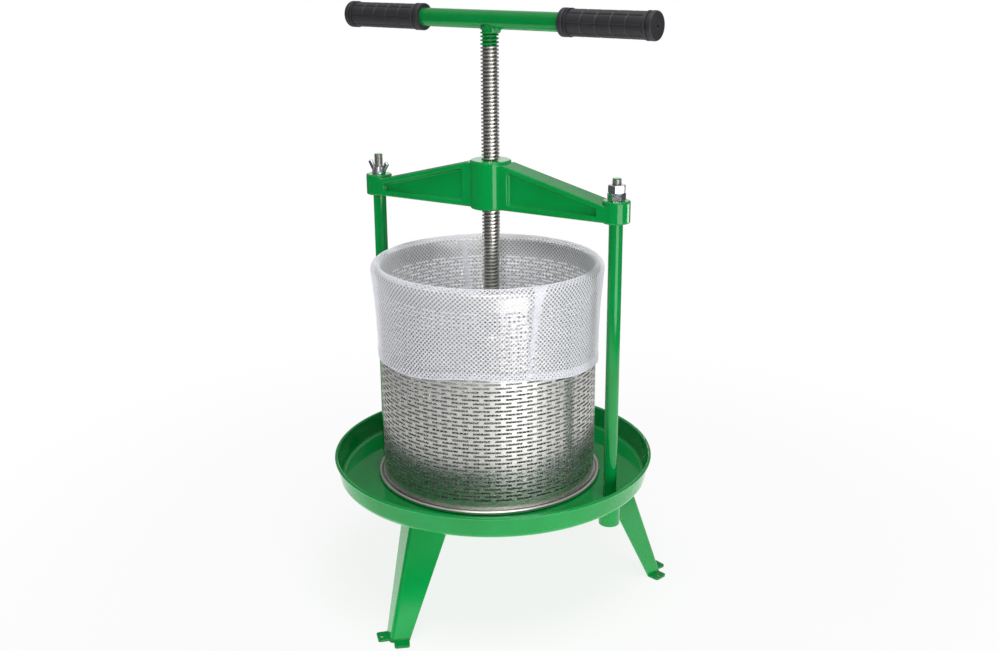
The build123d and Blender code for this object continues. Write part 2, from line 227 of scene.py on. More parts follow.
# Stainless sheet, rolled and line brushed round the drum: long faint streaks that spread the highlight
def makeStainless(name, colours, roughness, streakMm):
    material, tree, place = newMaterial(name)
    stretched = addNode(tree, "Mapping", {"Vector": place, "Scale": streakStretch})
    streaks = addNode(tree, "TexNoise", {
        "Vector": stretched.outputs[0], "Scale": perMetre(streakMm), "Detail": 4.0, "Roughness": 0.65,
    })
    cloud = addNode(tree, "TexNoise", {
        "Vector": place, "Scale": perMetre(patternMm["sheetCloud"]), "Detail": 3.0,
    })
    dull = addNode(tree, "MapRange", {
        "Value": streaks.outputs[0], "From Min": 0.42, "From Max": 0.62, "To Min": roughness[0],
        "To Max": roughness[1],
    })
    tone = addNode(tree, "ValToRGB", {"Fac": cloud.outputs[0]}, stops=zip((0, 1), colours))
    grain = addNode(tree, "Bump", {"Height": streaks.outputs[0], "Strength": 0.25, "Distance": 0.05 * mm})
    closeMaterial(tree, {
        "Base Color": tone.outputs[0], "Roughness": dull.outputs[0], "Normal": grain.outputs[0],
        "Metallic": 1.0, "Anisotropic": 0.4, "Anisotropic Rotation": 0.25,
    })
    return material


stainlessSheet = makeStainless(
    "stainless_sheet_brushed", colours=("#b3b2ae", "#c4c3bf"), roughness=(0.2, 0.6), streakMm=0.15
)
stainlessPlate = makeStainless(
    "stainless_plate_ground", colours=("#c4c3bf", "#d8d7d3"), roughness=(0.28, 0.5), streakMm=1.8
)


# Carbon steel screw with a rolled thread: painted light and shade by radius, lighter on the crests and darker
# in the roots, where old oil darkens it too
def makeScrewSteel(rootShadeRadius, crestLightRadius):
    material, tree, place = newMaterial("carbon_steel_rolled_thread")
    flatPlace = addNode(tree, "VectorMath", {0: place, 1: (1.0, 1.0, 0.0)}, operation="MULTIPLY")
    reach = addNode(tree, "VectorMath", {0: flatPlace.outputs[0]}, operation="LENGTH")
    # painted shade and highlight: 0 in the thread roots, 1 on the crests
    depth = addNode(tree, "MapRange", {
        "Value": reach.outputs["Value"], "From Min": rootShadeRadius * mm, "From Max": crestLightRadius * mm,
    })
    smear = addNode(tree, "TexNoise", {
        "Vector": place, "Scale": perMetre(patternMm["oilSmear"]), "Detail": 4.0,
    })
    # old oil smeared over the painted shade of the roots
    oilAndShade = addNode(tree, "Math", {0: smear.outputs[0], 1: 0.35, 2: depth.outputs[0]}, operation="MULTIPLY_ADD")
    tone = addNode(tree, "ValToRGB", {"Fac": oilAndShade.outputs[0]}, stops=((0.1, "#858279"), (0.95, "#e6e4e0")))
    dull = addNode(tree, "MapRange", {"Value": smear.outputs[0], "To Min": 0.28, "To Max": 0.42})
    scratch = addNode(tree, "TexNoise", {
        "Vector": place, "Scale": perMetre(patternMm["scratch"]), "Detail": 2.0,
    })
    grain = addNode(tree, "Bump", {"Height": scratch.outputs[0], "Strength": 0.2, "Distance": 0.05 * mm})
    closeMaterial(tree, {
        "Base Color": tone.outputs[0], "Roughness": dull.outputs[0], "Normal": grain.outputs[0],
        "Metallic": 1.0,
    })
    return material


screwSteel = makeScrewSteel(rootShadeRadius=7.7, crestLightRadius=9.8)


# Bright zinc plate on pressed steel: cool silver, cloudy from the bath
def makeZinc(name, colours, roughness):
    material, tree, place = newMaterial(name)
    bath = addNode(tree, "TexNoise", {
        "Vector": place, "Scale": perMetre(patternMm["zincBath"]), "Detail": 3.0,
    })
    tone = addNode(tree, "ValToRGB", {"Fac": bath.outputs[0]}, stops=zip((0, 1), colours))
    dull = addNode(tree, "MapRange", {
        "Value": bath.outputs[0], "To Min": roughness[0], "To Max": roughness[1],
    })
    pits = addNode(tree, "Bump", {"Height": bath.outputs[0], "Strength": 0.15, "Distance": 0.1 * mm})
    closeMaterial(tree, {
        "Base Color": tone.outputs[0], "Roughness": dull.outputs[0], "Normal": pits.outputs[0],
        "Metallic": 1.0,
    })
    return material


zincPlate = makeZinc("zinc_plate_bright", colours=("#b3b8bd", "#dfe3e6"), roughness=(0.12, 0.3))
# duller where the die has torn it
zincStud = makeZinc("zinc_plate_on_cut_thread", colours=("#a3a19b", "#c9c7c1"), roughness=(0.34, 0.5))


# Moulded rubber: charcoal, matt, with the mould's fine grain and a little bloom
def makeRubber():
    material, tree, place = newMaterial("rubber_moulded")
    bloom = addNode(tree, "TexNoise", {"Vector": place, "Scale": perMetre(patternMm["bloom"]), "Detail": 4.0})
    tone = addNode(tree, "ValToRGB", {"Fac": bloom.outputs[0]}, stops=((0, "#1f1e23"), (1, "#2c2b30")))
    mould = addNode(tree, "TexNoise", {
        "Vector": place, "Scale": perMetre(patternMm["mouldGrain"]), "Detail": 2.0,
    })
    grain = addNode(tree, "Bump", {"Height": mould.outputs[0], "Strength": 0.35, "Distance": 0.1 * mm})
    dull = addNode(tree, "MapRange", {"Value": bloom.outputs[0], "To Min": 0.5, "To Max": 0.66})
    closeMaterial(tree, {
        "Base Color": tone.outputs[0], "Roughness": dull.outputs[0], "Normal": grain.outputs[0], "IOR": 1.52,
    })
    return material


mouldedRubber = makeRubber()


# Nylon net, woven from flat white thread: cool white, soft shine, slightly uneven
def makeNylon(name, colours):
    material, tree, place = newMaterial(name)
    uneven = addNode(tree, "TexNoise", {
        "Vector": place, "Scale": perMetre(patternMm["unevenThread"]), "Detail": 3.0,
    })
    tone = addNode(tree, "ValToRGB", {"Fac": uneven.outputs[0]}, stops=zip((0, 1), colours))
    strands = addNode(tree, "TexNoise", {
        "Vector": place, "Scale": perMetre(patternMm["strand"]), "Detail": 2.0,
    })
    twist = addNode(tree, "Bump", {"Height": strands.outputs[0], "Strength": 0.3, "Distance": 0.1 * mm})
    dull = addNode(tree, "MapRange", {"Value": uneven.outputs[0], "To Min": 0.42, "To Max": 0.58})
    closeMaterial(tree, {
        "Base Color": tone.outputs[0], "Roughness": dull.outputs[0], "Normal": twist.outputs[0], "IOR": 1.53,
        "Sheen Weight": 0.15,
    })
    return material


nylonNet = makeNylon("nylon_net_woven", colours=("#e8e8f0", "#f4f4f9"))
nylonTape = makeNylon("nylon_tape_sewn", colours=("#e0e0ea", "#ececf4"))
print("materials made")


# Painted and bare pieces whose modelled shape is kept

keptNodes = {
    "tray": sprayedEnamel, "pour_spout": sprayedEnamel, "front_leg": sprayedEnamel,
    "rear_right_leg": sprayedEnamel, "rear_left_leg": sprayedEnamel, "left_post_socket": sprayedEnamel,
    "right_post_socket": sprayedEnamel, "crossbeam": castEnamel, "press_plate": stainlessPlate,
    "plate_hub": stainlessPlate, "drum_base_ring": stainlessPlate, "hub_set_screws": zincPlate,
}
for name, material in keptNodes.items():
    nodes[name].data.materials.clear()
    nodes[name].data.materials.append(material)
print("kept nodes dressed")


# Drum: brushed sheet with rows of pressed slots, brick fashion

drumSize = {
    "sheet": 1.0, "slotLength": 18.4, "slotGap": 5.4, "slotHeight": 2.3, "rowPitch": 4.38, "plainFoot": 14.0,
    "plainTop": 20.0, "slotsPerRow": 33, "bead": 2.5, "beadSteps": 10, "beadShare": 0.86, "crease": 50,
}
drumLow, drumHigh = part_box("slotted_drum")
drumCentre = ((drumLow + drumHigh) / 2).to_2d()
beadRadius = drumSize["bead"] * mm
drumRadius = (drumHigh.x - drumLow.x) / 2 - 2 * beadRadius + drumSize["sheet"] * mm
beadMiddle = drumRadius - drumSize["sheet"] * mm + beadRadius
beadLevel = drumHigh.z - beadRadius


def makeDrum():
    size = drumSize
    pitch = size["slotLength"] + size["slotGap"]
    half = pitch / 2
    breaks = [0, size["slotLength"] - half, half, size["slotLength"]]  # slot ends of both rows in one pitch
    slots = size["slotsPerRow"]
    angles = [fullTurn * (k + b / pitch) / slots for k in range(slots) for b in breaks]
    field = (beadLevel - drumLow.z) / mm - size["plainFoot"] - size["plainTop"]
    levels = [drumLow.z]
    for row in range(int(field / size["rowPitch"]) + 1):
        levels.append(drumLow.z + (size["plainFoot"] + row * size["rowPitch"]) * mm)
        levels.append(levels[-1] + size["slotHeight"] * mm)
    levels.append(beadLevel)
    bm = bmesh.new()
    outer, inner = skins = [
        [ringAt(bm, radius, z, angles, drumCentre) for z in levels]
        for radius in (drumRadius, drumRadius - size["sheet"] * mm)
    ]
    columns, bands = len(angles), len(levels) - 1

    def isOpen(band, column):
        if band % 2 == 0 or not 0 < band < bands:
            return False
        whole = 3 if band // 2 % 2 == 0 else 1  # the gap between two slots, in even and in odd rows
        return column % len(breaks) != whole

    for band in range(bands):
        for column in range(columns):
            if isOpen(band, column):
                continue
            ahead = (column + 1) % columns
            for skin in skins:
                low, high = skin[band], skin[band + 1]
                bm.faces.new([low[column], low[ahead], high[ahead], high[column]])
            walls = (
                (isOpen(band, column - 1), (band, column), (band + 1, column)),
                (isOpen(band, ahead), (band, ahead), (band + 1, ahead)),
                (band == 0 or isOpen(band - 1, column), (band, column), (band, ahead)),
                (isOpen(band + 1, column), (band + 1, column), (band + 1, ahead)),
            )
            for bare, (b0, c0), (b1, c1) in walls:
                if bare:
                    bm.faces.new([outer[b0][c0], outer[b1][c1], inner[b1][c1], inner[b0][c0]])
    # the top edge is rolled from the sheet's inner face over and round to its outer face
    last = inner[-1]
    for step in range(1, size["beadSteps"] + 1):
        turn = math.pi - fullTurn * step / size["beadSteps"] * size["beadShare"]
        level = beadLevel + beadRadius * math.sin(turn)
        ring = ringAt(bm, beadMiddle + beadRadius * math.cos(turn), level, angles, drumCentre)
        joinRings(bm, last, ring)
        last = ring
    joinRings(bm, last, outer[-1])
    piece = toObject("drumSheet", bm, [stainlessSheet])
    sharpen(piece, size["crease"])
    settle(piece, "drum", "stainless", "slotted_drum")


makeDrum()
print("drum made")


# Filter bag: a net sack in the drum, its mouth turned down over the rolled edge
# The real threads lie 3.0 mm apart, which is too fine to show in the render, so they are drawn at 3.5 mm

bagSize = {
    "threadPitch": 3.5, "thread": 1.0, "ridge": 0.5, "crossing": 0.12, "gap": 0.5, "cloth": 1.2,
    "lipRise": 8.0, "lipBulge": 6.3, "flareBend": 2.2, "drawnIn": 4.2, "drawnOver": (0.05, 0.16),
    "floorGap": 1.0, "hemGap": 1.8, "hemBand": 8.5, "hemRows": 3, "hemShift": 0.22, "seamShift": 0.5,
    "secondLayer": 0.5, "edgeTape": 0.8, "tapeLift": (0.1, 0.9), "tapeSteps": 240,
}
hemLevel = {"front": 291.0, "left": 284.0, "right": 275.0, "back": 280.0}  # mm above the ground
hemWaves = ((1.2, 5, 1), (0.7, 9, 0))  # height in mm, waves to a round, phase
# soft ripples of hanging cloth: height in mm, the noise's reach round the drum and steps to a metre,
# and how far they stand off. growth is how soon the wall's set in below the fold
skirtRipple = {"height": 0.9, "round": 3.2, "up": 14, "phase": 0, "lean": 0.5}
wallRipple = {"height": 0.6, "round": 3, "up": 9, "phase": 5, "lean": 0.6, "growth": 8}
frontAzimuth = math.radians(-57.7)
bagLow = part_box("filter_bag")[0]
foldInside = beadRadius + (bagSize["gap"] + bagSize["cloth"]) * mm
wallRadius = beadMiddle - foldInside
floorLevel = bagLow.z + bagSize["cloth"] * mm
skirtDrop = beadLevel - hemLevel["front"] * mm
# threads cross at 45 degrees, so each mesh stands on its corner
meshStep = bagSize["threadPitch"] * math.sqrt(2) * mm
meshesRound = round(fullTurn * drumRadius / meshStep)


def hemAt(angle):
    along, across = math.cos(angle - frontAzimuth), math.sin(angle - frontAzimuth)
    level = (hemLevel["front"] if along > 0 else hemLevel["back"]) * along * along
    level += (hemLevel["right"] if across > 0 else hemLevel["left"]) * across * across
    level *= mm
    for height, waves, phase in hemWaves:
        level += height * mm * math.sin(waves * angle + phase)
    return level


def rippleAt(ripple, angle, z):
    x, y = ripple["round"] * math.cos(angle), ripple["round"] * math.sin(angle)
    wave = noise.noise(Vector((x, y, ripple["up"] * z + ripple["phase"])))
    return ripple["height"] * mm * (wave + ripple["lean"])


# way runs 0..1 up the skirt, 1..2 over the fold, 2..3 down the wall. lift stands off the cloth's outer side
def bagPoint(angle, way, lift=0.0):
    if way <= 1:
        hem = hemAt(angle)
        z = hem + (beadLevel - hem) * way
        flare = beadMiddle + (bagSize["lipBulge"] - bagSize["hemGap"]) * mm - drumRadius
        slack = rippleAt(skirtRipple, angle, z) * math.sqrt(1 - way)
        radius = drumRadius + bagSize["hemGap"] * mm + flare * way ** bagSize["flareBend"] + slack + lift
    elif way <= 2:
        turn = math.pi * (way - 1)
        width = bagSize["lipBulge"] * mm if turn < math.pi / 2 else foldInside
        radius = beadMiddle + (width + lift) * math.cos(turn)
        z = beadLevel + (bagSize["lipRise"] * mm + lift) * math.sin(turn)
    else:
        share = way - 2
        z = beadLevel + (floorLevel - beadLevel) * share
        radius = wallRadius - rippleAt(wallRipple, angle, z) * min(1, share * wallRipple["growth"]) - lift
        radius -= bagSize["drawnIn"] * mm * smoothStep(*bagSize["drawnOver"], share)
    return Vector((drumCentre.x + radius * math.cos(angle), drumCentre.y + radius * math.sin(angle), z))


def spacedWays(start, end, length, meshes):
    count = max(2, round(length / meshStep / meshes))
    return [start + (end - start) * k / count for k in range(count)]


foldLength = math.pi * (bagSize["lipRise"] + bagSize["lipBulge"]) / 2 * mm
wallLength = beadLevel - floorLevel
sleeveWays = spacedWays(0, 1, skirtDrop, 1) + spacedWays(1, 2, foldLength, 0.5)
sleeveWays += spacedWays(2, 3, wallLength, 2) + [3]


def sleeveReach(way):
    if way <= 1:
        return skirtDrop * way
    if way <= 2:
        return skirtDrop + foldLength * (way - 1)
    return skirtDrop + foldLength + wallLength * (way - 2)


# Threads in two sets that lean opposite ways, one set a hair over the other, each with a low ridge
def weave(bm, ways, shift=0.0, lift=0.0, keep=None):
    half = bagSize["thread"] * mm * math.sqrt(2) / 2 / meshStep
    section = ((-half, 0), (0, bagSize["ridge"] * mm), (half, 0))
    for lean in (-1, 1):
        height = lift + lean * bagSize["crossing"] * mm
        for start in range(meshesRound):
            before = None
            for way in ways:
                column = start + shift + lean * sleeveReach(way) / meshStep
                if keep and not keep(fullTurn * column / meshesRound, way):
                    before = None
                    continue
                line = [
                    bm.verts.new(bagPoint(fullTurn * (column + side) / meshesRound, way, height + rise))
                    for side, rise in section
                ]
                if before:
                    bm.faces.new([before[0], before[1], line[1], line[0]])
                    bm.faces.new([before[1], before[2], line[2], line[1]])
                before = line
    bmesh.ops.delete(bm, geom=[v for v in bm.verts if not v.link_faces], context="VERTS")


def weaveFloor(bm):
    reach = wallRadius - (bagSize["drawnIn"] + bagSize["floorGap"]) * mm
    pitch, half = bagSize["threadPitch"] * mm, bagSize["thread"] / 2 * mm
    ridge = Vector((0, 0, bagSize["ridge"] * mm))
    count = int(reach / pitch)
    for lean in (-1, 1):
        along = Vector((1, lean, 0)).normalized()
        across = Vector((-lean, 1, 0)).normalized()
        height = Vector((drumCentre.x, drumCentre.y, floorLevel + lean * bagSize["crossing"] * mm))
        for k in range(-count, count + 1):
            edge = abs(k) * pitch + half
            if edge >= reach:
                continue
            run = math.sqrt(reach ** 2 - edge ** 2)
            left, middle, right = [
                [bm.verts.new(height + along * end + across * (k * pitch + b) + up) for end in (-run, run)]
                for b, up in ((-half, Vector()), (0, ridge), (half, Vector()))
            ]
            bm.faces.new([left[0], left[1], middle[1], middle[0]])
            bm.faces.new([middle[0], middle[1], right[1], right[0]])


# A bound edge: a thin closed strip that follows the cloth through the given rows of (angle, way)
def addTape(bm, rows, lifts):
    layers = [[[bm.verts.new(bagPoint(*place, lift)) for place in row] for row in rows] for lift in lifts]
    under, over = layers
    for i in range(len(rows) - 1):
        for j in range(len(rows[0]) - 1):
            for layer in layers:
                bm.faces.new([layer[i][j], layer[i][j + 1], layer[i + 1][j + 1], layer[i + 1][j]])
        for j in (0, -1):
            bm.faces.new([under[i][j], under[i + 1][j], over[i + 1][j], over[i][j]])


# The hem: the net turned up double, with a bound edge
def makeHem():
    bm = bmesh.new()
    rows, steps = bagSize["hemRows"], bagSize["tapeSteps"]
    band = bagSize["hemBand"] * mm / skirtDrop
    ways = [band * k / rows for k in range(rows + 1)]
    weave(bm, ways, bagSize["hemShift"], bagSize["secondLayer"] * mm)
    edge = bagSize["edgeTape"] * mm / skirtDrop
    around = [fullTurn * k / steps for k in range(steps + 1)]
    addTape(bm, [[(a, 0), (a, edge)] for a in around], [lift * mm for lift in bagSize["tapeLift"]])
    return toObject("bagHem", bm, [nylonTape])


# Where the net's edges meet: a second layer of net over the first, half a mesh aside
def makeSeam(seam):
    first, last = seam["from"], seam["to"]

    def middle(way):
        share = (way - first) / (last - first)
        low, high = seam["azimuth"]
        wide = seam["width"][0] + (seam["width"][1] - seam["width"][0]) * share
        return math.radians(low + (high - low) * share), wide * mm / drumRadius / 2

    def inside(angle, way):
        centre, half = middle(way)
        return abs((angle - centre + math.pi) % fullTurn - math.pi) < half

    bm = bmesh.new()
    count = round((sleeveReach(last) - sleeveReach(first)) / (meshStep / 2))
    ways = [first + (last - first) * k / count for k in range(count + 1)]
    weave(bm, ways, bagSize["seamShift"], bagSize["secondLayer"] * mm, inside)
    return toObject(seam["name"], bm, [nylonTape])


# from and to are ways along the sleeve, azimuth in degrees and width in mm at both
seams = (
    {"name": "bagSeamFront", "from": 0.0, "to": 1.5, "azimuth": (-37.6, -31.4), "width": (6.5, 15.5)},
    {"name": "bagSeamWithin", "from": 2.02, "to": 2.7, "azimuth": (-31.5, -32.5), "width": (15.0, 16.0)},
    {"name": "bagSeamBack", "from": 1.8, "to": 2.6, "azimuth": (138.5, 131.0), "width": (9.0, 12.5)},
    {"name": "bagSeamLeft", "from": 1.8, "to": 2.5, "azimuth": (174.5, 173.0), "width": (5.0, 6.0)},
)
netMesh = bmesh.new()
weave(netMesh, sleeveWays)
weaveFloor(netMesh)
bagNet = toObject("bagNet", netMesh, [nylonNet])
bagTapes = [makeHem()] + [makeSeam(seam) for seam in seams]
settle(bagNet, "drum", "bag_mesh", "filter_bag")
for tape in bagTapes:
    settle(tape, "drum", "bag_mesh")
print("bag made:", len(bagNet.data.polygons), "faces")


# Press screw: trapezoidal thread with a plain journal, its top painted with the handle

screwSize = {
    "major": 10.0, "minor": 7.75, "pitch": 4.0, "root": 0.37, "crest": 0.37, "steps": 40, "journal": 8.0,
    "groove": 5.5, "grooveWidth": 7.0, "hubClear": 0.1, "shortOfBar": 0.6, "paintDrop": 28.0, "crease": 35,
}
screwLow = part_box("press_screw")[0]
hubLow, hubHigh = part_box("plate_hub")
barLow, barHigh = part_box("handle_bar")
barLevel = (barLow.z + barHigh.z) / 2
barRadius = (barHigh.z - barLow.z) / 2


def makeScrew():
    seat = hubHigh.z + screwSize["hubClear"] * mm
    bm = threadRod(screwSize, seat, barLevel - barRadius * screwSize["shortOfBar"])
    grooveMiddle = (hubLow.z + hubHigh.z) / 2
    half = screwSize["grooveWidth"] / 2 * mm
    journal, groove = screwSize["journal"] * mm, screwSize["groove"] * mm
    lathe(bm, [
        (0, screwLow.z), (journal, screwLow.z), (journal, grooveMiddle - half), (groove, grooveMiddle - half),
        (groove, grooveMiddle + half), (journal, grooveMiddle + half), (journal, seat), (0, seat),
    ], screwSize["steps"])
    piece = toObject("pressScrew", bm, [screwSteel, castEnamel])
    for face in piece.data.polygons:
        if face.center.z > barLevel - screwSize["paintDrop"] * mm:
            face.material_index = 1
    sharpen(piece, screwSize["crease"])
    settle(piece, "screw", "screw_steel", "press_screw")


makeScrew()
print("screw made")


# Handle: a tube across the screw's top, with the painted weld under it

handleSize = {
    "wall": 2.0, "steps": 64, "crease": 40, "weldDrop": 4.0, "weldAside": 8.6, "weldAlong": 13.5,
    "weldSink": 0.4, "weldBelly": 0.5, "weldHollow": 0.9, "weldRipple": 0.35, "weldWaves": 14, "weldLean": 5,
    "weldSteps": 96, "weldRows": 10,
}
gripBoxes = {side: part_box(side + "_grip") for side in ("left", "right")}
barMiddle = (barLow + barHigh) / 2
leftLow, leftHigh = gripBoxes["left"]
rightLow, rightHigh = gripBoxes["right"]
barAlong = (rightLow + rightHigh - leftLow - leftHigh).normalized()
barAcross = Vector((0, 0, 1)).cross(barAlong)
barFrame = Matrix((barAcross, Vector((0, 0, 1)), barAlong)).transposed().to_4x4()
barFrame.translation = barMiddle
barLength = (barHigh.x - barLow.x - 2 * barRadius * abs(barAlong.y)) / barAlong.x


def makeHandle():
    bm = bmesh.new()
    inner, end = barRadius - handleSize["wall"] * mm, barLength / 2
    profile = [(barRadius, -end), (barRadius, end), (inner, end), (inner, -end)]
    lathe(bm, profile, handleSize["steps"], closed=True)
    bm.transform(barFrame)
    tube = toObject("handleTube", bm, [sprayedEnamel])
    sharpen(tube, handleSize["crease"])
    settle(tube, "screw", "green_enamel", "handle_bar")


# A fillet of weld from the screw's end out onto the underside of the tube, rippled by the torch
def makeWeld():
    size = handleSize
    screwRadius = screwSize["major"] * mm
    steps, rows, sink = size["weldSteps"], size["weldRows"], size["weldSink"] * mm
    bm = bmesh.new()
    rings = [[] for row in range(rows + 1)]
    for k in range(steps):
        turn = fullTurn * k / steps
        out = Vector((math.sin(turn), 0, math.cos(turn)))
        low = out * (screwRadius - sink) - Vector((0, barRadius + size["weldDrop"] * mm, 0))
        aside = size["weldAside"] * mm * out.x
        under = -math.sqrt(barRadius ** 2 - aside ** 2) + sink
        high = Vector((aside, under, size["weldAlong"] * mm * out.z))
        bend = out * (screwRadius + size["weldBelly"] * mm)
        bend.y = high.y - size["weldHollow"] * mm
        for row in range(rows + 1):
            t = row / rows
            wave = math.sin(size["weldWaves"] * turn + size["weldLean"] * t)
            ripple = size["weldRipple"] * mm * wave * math.sin(math.pi * t)
            point = low * (1 - t) ** 2 + bend * 2 * t * (1 - t) + high * t ** 2
            rings[row].append(bm.verts.new(point + out * ripple - Vector((0, ripple * t, 0))))
    for low, high in zip(rings, rings[1:]):
        joinRings(bm, low, high)
    bm.faces.new(rings[0])
    bm.faces.new(rings[-1])
    bm.transform(barFrame)
    settle(toObject("handleWeld", bm, [castEnamel]), "screw", "green_enamel")


makeHandle()
makeWeld()
print("handle made")


# Grips: blocks of tread between collars, a domed end with a mould line and a vent hole

gripSize = {
    "length": 111.0, "radius": 13.9, "collar": 14.8, "collarWidth": 6.0, "ring": 3.0, "ringGap": 1.6,
    "endWall": 2.5, "dome": 2.2, "domeSteps": 6, "columns": 5, "rows": 8, "groove": 1.5, "grooveDepth": 0.9,
    "soft": 0.4, "collarSoft": 1.6, "steps": 120, "step": 0.5, "endSteps": 12, "lineDepth": 0.55,
    "lineWidths": (0.75, 0.3), "lineTurn": 1.3, "vent": 1.5, "ventDepth": 2.0, "bore": 10.05, "crease": 60,
}


def gripRadius(along, turn):
    size = gripSize
    fromEnd = min(along, size["length"] - along)
    root = size["radius"] - size["grooveDepth"]
    treadStart = size["collarWidth"] + size["ringGap"] + size["ring"]
    soft = size["soft"]
    collarSoft = soft * size["collarSoft"]
    if fromEnd < size["collarWidth"]:
        edge = min(fromEnd + soft, size["collarWidth"] - fromEnd)
        return root + (size["collar"] - root) * smoothStep(0, collarSoft, edge)
    if fromEnd < size["collarWidth"] + size["ringGap"]:
        return root
    if fromEnd < treadStart:
        edge = min(fromEnd - size["collarWidth"] - size["ringGap"], treadStart - fromEnd)
        return root + (size["collar"] - root) * smoothStep(0, collarSoft, edge)
    pitch = (size["length"] - 2 * treadStart) / size["columns"]
    into = (along - treadStart) % pitch
    toRow = min(into, pitch - into)
    arc = fullTurn * size["radius"] / size["rows"]
    over = turn / fullTurn * size["rows"] * arc % arc
    toColumn = min(over, arc - over)
    edge = min(toRow, toColumn) - size["groove"] / 2
    return root + (size["radius"] - root) * smoothStep(-soft, soft, edge)


def makeGrip(side, sign):
    size = gripSize
    bm = bmesh.new()
    steps = size["steps"]
    turns = [fullTurn * k / steps for k in range(steps)]
    stations = round((size["length"] - size["dome"]) / size["step"])
    rings = []

    def addStation(radiusAt, zAt):
        ring = []
        for t in turns:
            radius = radiusAt(t) * mm
            ring.append(bm.verts.new((radius * math.cos(t), radius * math.sin(t), zAt(t) * mm)))
        rings.append(ring)

    depth = size["length"] - size["endWall"]
    addStation(lambda t: size["bore"], lambda t: depth)
    addStation(lambda t: size["bore"], lambda t: 0.0)
    for k in range(stations + 1):
        along = k * size["step"]
        addStation(lambda t: gripRadius(along, t), lambda t: along)
    shoulder = size["collar"] - size["dome"]
    for k in range(1, size["domeSteps"] + 1):
        bend = math.pi / 2 * k / size["domeSteps"]
        z = size["length"] - size["dome"] * (1 - math.sin(bend))
        addStation(lambda t: shoulder + size["dome"] * math.cos(bend), lambda t: z)
    # the end: a shallow mould line across it and a vent in the middle
    for k in range(1, size["endSteps"] + 1):
        radius = shoulder + (size["vent"] - shoulder) * k / size["endSteps"]

        def endLevel(t):
            fromLine = abs(radius * math.sin(t - size["lineTurn"]))
            return size["length"] - size["lineDepth"] * smoothStep(*size["lineWidths"], fromLine)

        addStation(lambda t: radius, endLevel)
    addStation(lambda t: size["vent"], lambda t: size["length"] - size["ventDepth"])
    for low, high in zip(rings, rings[1:]):
        joinRings(bm, low, high)
    bm.faces.new(rings[-1])
    bm.faces.new(rings[0])
    start = barLength / 2 + (size["endWall"] - size["length"]) * mm
    flip = Matrix.Rotation(0 if sign > 0 else math.pi, 4, "Y")
    bm.transform(barFrame @ flip @ Matrix.Translation((0, 0, start)))
    piece = toObject(side + "Grip", bm, [mouldedRubber])
    sharpen(piece, size["crease"])
    settle(piece, "screw", "grip_rubber", side + "_grip")


makeGrip("left", -1)
makeGrip("right", 1)
print("grips made")


# Posts: painted bars whose bare threaded ends carry the beam and the nuts

postSize = {
    "radius": 7.5, "root": 6.0, "trayFloor": 2.0, "studSink": 2.0, "tipInset": 0.3, "paintEdge": 1.0,
    "paintTip": 0.9, "chamfer": 0.8, "steps": 56, "crease": 35,
    "stud": {"major": 5.0, "minor": 4.2, "pitch": 1.5, "root": 0.2, "crest": 0.3, "steps": 36},
}
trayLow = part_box("tray")[0]
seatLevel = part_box("crossbeam")[0].z
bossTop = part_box("beam_clamp_nut")[0].z


def makePost(side):
    low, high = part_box(side + "_post")
    centre = ((low + high) / 2).to_2d()
    radius, root, chamfer = (postSize[k] * mm for k in ("radius", "root", "chamfer"))
    floor = trayLow.z + postSize["trayFloor"] * mm
    studFoot = bossTop - postSize["studSink"] * mm
    stud = postSize["stud"]
    major = stud["major"] * mm
    bm = threadRod(stud, studFoot, high.z - chamfer, centre)
    lathe(bm, [
        (0, low.z), (root, low.z), (root, floor), (radius, floor), (radius, seatLevel - chamfer),
        (radius - chamfer, seatLevel), (major, seatLevel), (major, studFoot), (0, studFoot),
    ], postSize["steps"], centre)
    lathe(bm, [
        (0, high.z - chamfer), (major - postSize["tipInset"] * mm, high.z - chamfer),
        (stud["minor"] * mm, high.z), (0, high.z),
    ], postSize["steps"], centre)
    piece = toObject(side + "Post", bm, [sprayedEnamel, zincStud])
    for face in piece.data.polygons:
        if seatLevel + postSize["paintEdge"] * mm < face.center.z < high.z - postSize["paintTip"] * mm:
            face.material_index = 1
    sharpen(piece, postSize["crease"])
    settle(piece, "frame", "green_enamel", side + "_post")


makePost("left")
makePost("right")
print("posts made")


# Nuts: cold-formed hexagons with turned corners, threaded right through

nutSize = {"flats": 17.0, "bore": 5.15, "chamferShare": 0.97, "slope": 30.0, "steps": 72, "crease": 20}
nutTurns = {"clampNut": ("beam_clamp_nut", -2.7), "lockNut": ("beam_lock_nut", 17.3)}  # in degrees


def makeNut(name, node, turn):
    low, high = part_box(node)
    centre = (low + high) / 2
    half = nutSize["flats"] / 2 * mm
    rise = math.tan(math.radians(nutSize["slope"]))
    turnedRadius = half * nutSize["chamferShare"]
    bore = nutSize["bore"] * mm
    angles = [fullTurn * k / nutSize["steps"] for k in range(nutSize["steps"])]
    sixth = math.radians(60)
    bm = bmesh.new()
    rings = []
    for kind in ("boreLow", "faceLow", "sideLow", "sideHigh", "faceHigh", "boreHigh"):
        ring = []
        for a in angles:
            flat = half / math.cos((a + sixth / 2) % sixth - sixth / 2)
            slopeDrop = (flat - turnedRadius) * rise
            radius = {"bore": bore, "face": turnedRadius, "side": flat}[kind[:4]]
            inset = slopeDrop if kind[:4] == "side" else 0
            z = low.z + inset if kind.endswith("Low") else high.z - inset
            ring.append(bm.verts.new((radius * math.cos(a + turn), radius * math.sin(a + turn), z)))
        rings.append(ring)
    for lower, upper in zip(rings, rings[1:] + rings[:1]):
        joinRings(bm, lower, upper)
    bmesh.ops.translate(bm, verts=bm.verts, vec=(centre.x, centre.y, 0))
    piece = toObject(name, bm, [zincPlate])
    sharpen(piece, nutSize["crease"])
    settle(piece, "frame", "zinc_plate", node)


for name, (node, degrees) in nutTurns.items():
    makeNut(name, node, math.radians(degrees))
print("nuts made")


# Wing nut: a turned hub with two squared ears

